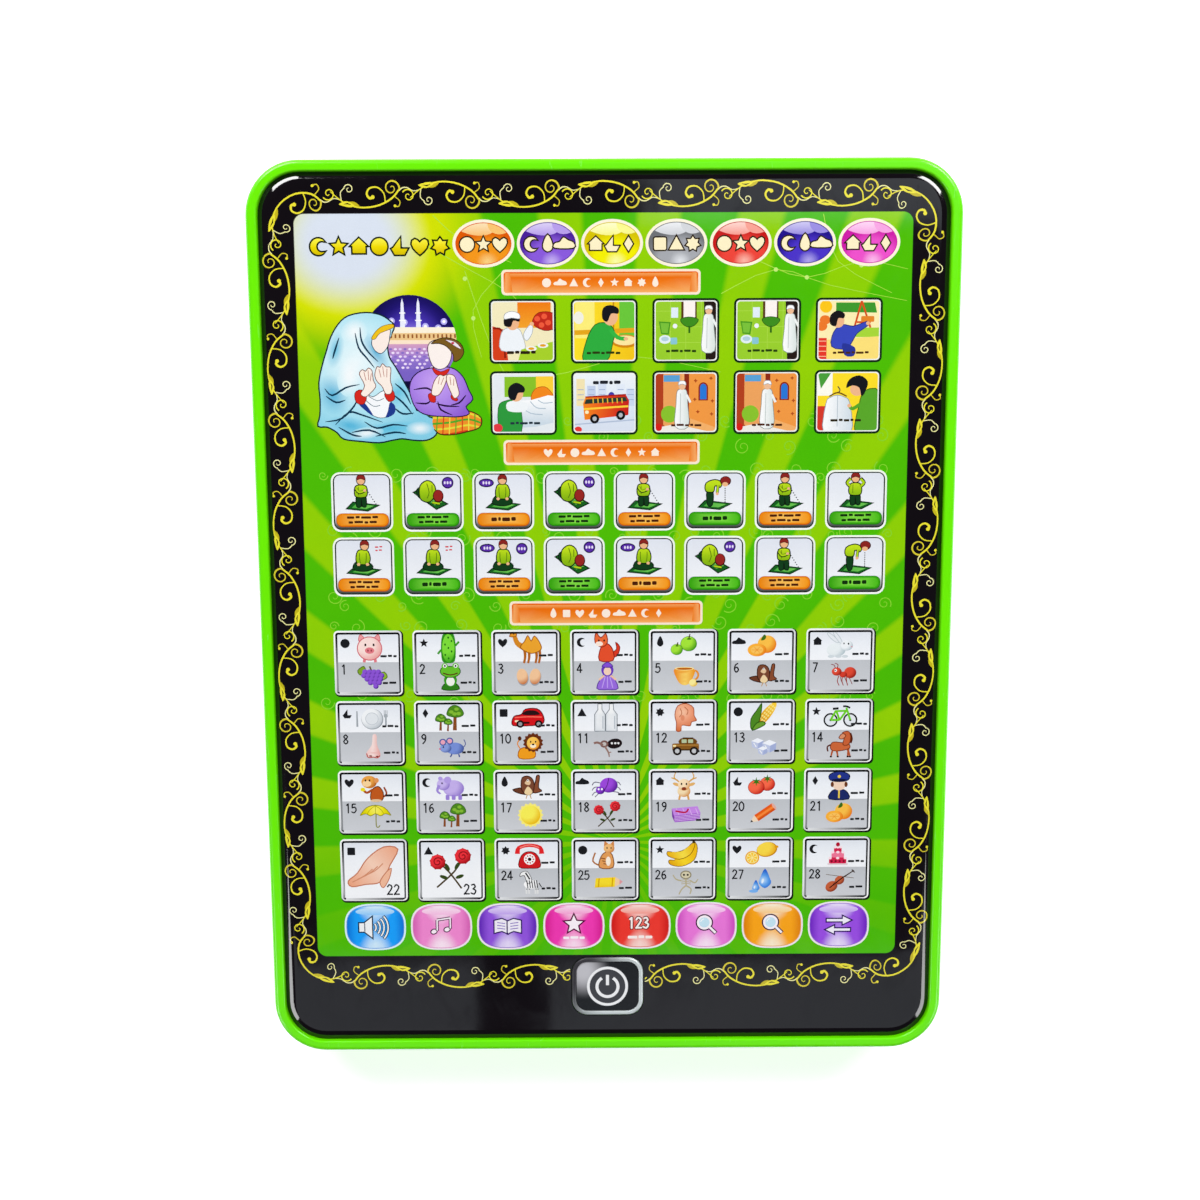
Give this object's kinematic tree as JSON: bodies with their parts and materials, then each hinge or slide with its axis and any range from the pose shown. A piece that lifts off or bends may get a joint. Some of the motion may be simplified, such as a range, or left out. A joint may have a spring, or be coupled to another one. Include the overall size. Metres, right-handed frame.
{
  "type": "learning tablet",
  "caption": "Flat lime-green learning tablet with a glossy printed touch face, a round-cornered raised rim, a push power key and a screwed battery door on the back.",
  "frame": {"origin": "centre of the case's outline, on the plane that its four moulded feet stand on", "axes": "+Z out of the printed face, +Y up the face from the power key to the top edge, +X to the reader's right"},
  "size_m": [0.184, 0.24, 0.018],
  "materials": {
    "case_lime": "moulded lime-green ABS, fine gloss with soft handling marks",
    "door_lime": "moulded lime-green ABS, same as the case",
    "printed_film": "glossy clear film, printed on its back in many colours",
    "clear_film": "clear polyester sheet with printed silver tracks",
    "carbon_ink": "matt black conductive ink",
    "key_black": "glossy dark cap with a printed white power ring",
    "key_silver": "bright plated plastic ring",
    "switch_black": "black moulded switch housing",
    "switch_stem": "red moulded switch stem",
    "circuit_board": "green solder mask over copper tracks",
    "black_resin": "black epoxy and ceramic",
    "capacitor_sleeve": "dark blue shrink sleeve over an aluminium can",
    "plated_steel": "zinc-plated steel",
    "white_nylon": "natural nylon",
    "cell_jacket": "shrink jacket with bare metal ends, plain colours",
    "spring_steel": "nickel-plated spring steel",
    "lead_black": "black PVC insulation",
    "lead_red": "red PVC insulation",
    "lead_white": "white PVC insulation",
    "gasket_foam": "black foam ring",
    "speaker_steel": "pressed and plated steel",
    "ferrite": "dark grey sintered ferrite",
    "cone_paper": "black pulp cone with a folded surround",
    "coil_copper": "enamelled copper wire on a former"
  },
  "bodies": {
    "case": {"front_shell": "case_lime", "back_shell": "case_lime", "printed_film": "printed_film", "membrane_upper_sheet": "clear_film", "membrane_spacer": "clear_film", "membrane_lower_sheet": "clear_film", "upper_contacts": "carbon_ink", "lower_contacts": "carbon_ink", "membrane_tail": "clear_film", "power_switch_body": "switch_black", "main_board": "circuit_board", "chip_blob": "black_resin", "capacitors": "capacitor_sleeve", "resistors": "black_resin", "crystal": "plated_steel", "tail_clamp_bar": "white_nylon", "tail_clamp_screws": "plated_steel", "board_screws": "plated_steel", "battery_cells": "cell_jacket", "battery_contact_plates": "spring_steel", "battery_springs": "spring_steel", "battery_lead_black": "lead_black", "battery_lead_red": "lead_red", "speaker_gasket": "gasket_foam", "speaker_basket": "speaker_steel", "speaker_top_plate": "speaker_steel", "speaker_magnet": "ferrite", "speaker_yoke": "speaker_steel", "speaker_terminals": "circuit_board", "speaker_screws": "plated_steel", "speaker_leads": "lead_white", "case_screws": "plated_steel"},
    "power_key": {"power_key": "key_black", "power_key_rim": "key_silver", "power_switch_stem": "switch_stem"},
    "battery_door": {"battery_door": "door_lime"},
    "battery_door_screw": {"battery_door_screw": "plated_steel"},
    "speaker_cone": {"speaker_cone": "cone_paper", "voice_coil": "coil_copper"}
  },
  "joints": [
    {"name": "power_key_press", "type": "slide", "parent": "case", "child": "power_key", "axis": [0, 0, -1], "range_m": [0, 0.0003], "stiffness_N_per_m": 4000},
    {"name": "battery_door_swing", "type": "hinge", "parent": "case", "child": "battery_door", "pos_m": [0, -0.07, 0.0006], "axis": [1, 0, 0], "range_deg": [-60, 0]},
    {"name": "battery_screw_out", "type": "slide", "parent": "battery_door", "child": "battery_door_screw", "axis": [0, 0, -1], "range_m": [0, 0.005]},
    {"name": "speaker_cone_travel", "type": "slide", "parent": "case", "child": "speaker_cone", "axis": [0, 0, 1], "range_m": [-0.0004, 0.0004], "stiffness_N_per_m": 600}
  ]
}
